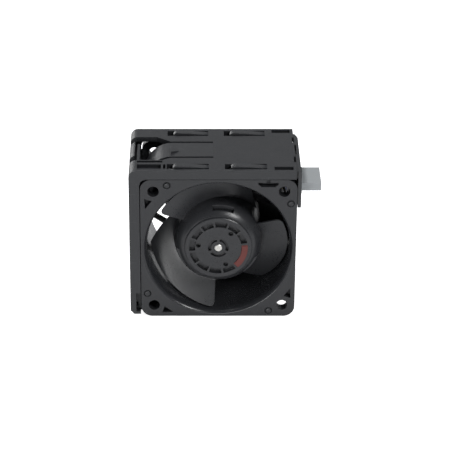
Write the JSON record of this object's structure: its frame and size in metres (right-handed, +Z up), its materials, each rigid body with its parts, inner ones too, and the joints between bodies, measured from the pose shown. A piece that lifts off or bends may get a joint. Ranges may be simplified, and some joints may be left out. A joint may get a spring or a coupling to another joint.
{
  "type": "server fan module",
  "caption": "Hot-swap axial server fan in a black latch carrier with leaf springs, bladed impeller, guide vanes and a light grey blind-mate plug",
  "frame": {"origin": "centre of the bounding box, on the floor", "axes": "X runs along the module from the latch end to the plug end, Y from the inlet face into the depth along the air flow, Z up"},
  "size_m": [0.0738, 0.0384, 0.065],
  "materials": {
    "carrier_plastic": "satin",
    "fan_plastic": "satin",
    "impeller_plastic": "satin",
    "plate_plastic": "satin",
    "plug_plastic": "satin",
    "insulator_plastic": "satin",
    "balance_putty": "matte",
    "shaft_steel": "satin",
    "bearing_steel": "polished",
    "spring_steel": "satin",
    "yoke_steel": "satin",
    "core_steel": "matte",
    "bonded_magnet": "matte",
    "tube_brass": "satin",
    "contact_plating": "polished",
    "coil_wire": "gloss",
    "board_laminate": "gloss",
    "chip_epoxy": "matte",
    "capacitor_sleeve": "gloss",
    "lead_black_cover": "satin",
    "lead_red_cover": "satin",
    "lead_yellow_cover": "satin",
    "lead_blue_cover": "satin"
  },
  "bodies": {
    "carrier": {"carrier_shell": "carrier_plastic", "connector_plate": "plate_plastic", "plug_housing": "plug_plastic", "plug_contacts": "contact_plating", "fan_frame": "fan_plastic", "guide_vanes": "fan_plastic", "bearing_tube": "tube_brass", "bearing_outer_rings": "bearing_steel", "stator_core": "core_steel", "front_insulator": "insulator_plastic", "rear_insulator": "insulator_plastic", "windings": "coil_wire", "circuit_board": "board_laminate", "driver_chip": "chip_epoxy", "hall_sensor": "chip_epoxy", "capacitors": "capacitor_sleeve", "lead_black": "lead_black_cover", "lead_red": "lead_red_cover", "lead_yellow": "lead_yellow_cover", "lead_blue": "lead_blue_cover"},
    "rotor": {"impeller": "impeller_plastic", "balance_putty": "balance_putty", "rotor_yoke": "yoke_steel", "magnet_ring": "bonded_magnet", "shaft": "shaft_steel", "retaining_clip": "spring_steel", "preload_spring": "spring_steel", "bearing_inner_rings": "bearing_steel"},
    "front_balls": {"front_bearing_balls": "bearing_steel"},
    "rear_balls": {"rear_bearing_balls": "bearing_steel"},
    "latch": {"latch_tongue": "carrier_plastic"},
    "leaf_front_left": {"leaf_spring_front_left": "carrier_plastic"},
    "leaf_back_left": {"leaf_spring_back_left": "carrier_plastic"},
    "leaf_front_right": {"leaf_spring_front_right": "carrier_plastic"},
    "leaf_back_right": {"leaf_spring_back_right": "carrier_plastic"}
  },
  "joints": [
    {"name": "rotor_spin", "type": "hinge", "parent": "carrier", "child": "rotor", "pos_m": [-0.0026, -0.01878, 0.03], "axis": [0, -1, 0], "continuous": true},
    {"name": "front_balls_roll", "type": "hinge", "parent": "carrier", "child": "front_balls", "pos_m": [-0.0026, -0.00808, 0.03], "axis": [0, -1, 0], "continuous": true},
    {"name": "rear_balls_roll", "type": "hinge", "parent": "carrier", "child": "rear_balls", "pos_m": [-0.0026, 0.01093, 0.03], "axis": [0, -1, 0], "continuous": true},
    {"name": "latch_flex", "type": "hinge", "parent": "carrier", "child": "latch", "pos_m": [-0.0048, -0.00068, 0.06315], "axis": [0, -1, 0], "range_deg": [0, 5], "stiffness_Nm_per_rad": 1.2},
    {"name": "leaf_front_left_flex", "type": "hinge", "parent": "carrier", "child": "leaf_front_left", "pos_m": [-0.00652, -0.01537, 0.0634], "axis": [0, -1, 0], "range_deg": [0, 3], "stiffness_Nm_per_rad": 0.5},
    {"name": "leaf_back_left_flex", "type": "hinge", "parent": "carrier", "child": "leaf_back_left", "pos_m": [-0.00652, 0.01383, 0.0634], "axis": [0, -1, 0], "range_deg": [0, 3], "stiffness_Nm_per_rad": 0.5},
    {"name": "leaf_front_right_flex", "type": "hinge", "parent": "carrier", "child": "leaf_front_right", "pos_m": [0.01558, -0.01537, 0.0634], "axis": [0, -1, 0], "range_deg": [0, 3], "stiffness_Nm_per_rad": 0.5},
    {"name": "leaf_back_right_flex", "type": "hinge", "parent": "carrier", "child": "leaf_back_right", "pos_m": [0.01558, 0.01383, 0.0634], "axis": [0, -1, 0], "range_deg": [0, 3], "stiffness_Nm_per_rad": 0.5}
  ],
  "couplings": [
    {"joint": "front_balls_roll", "follows": "rotor_spin", "ratio": 0.392},
    {"joint": "rear_balls_roll", "follows": "rotor_spin", "ratio": 0.392}
  ]
}
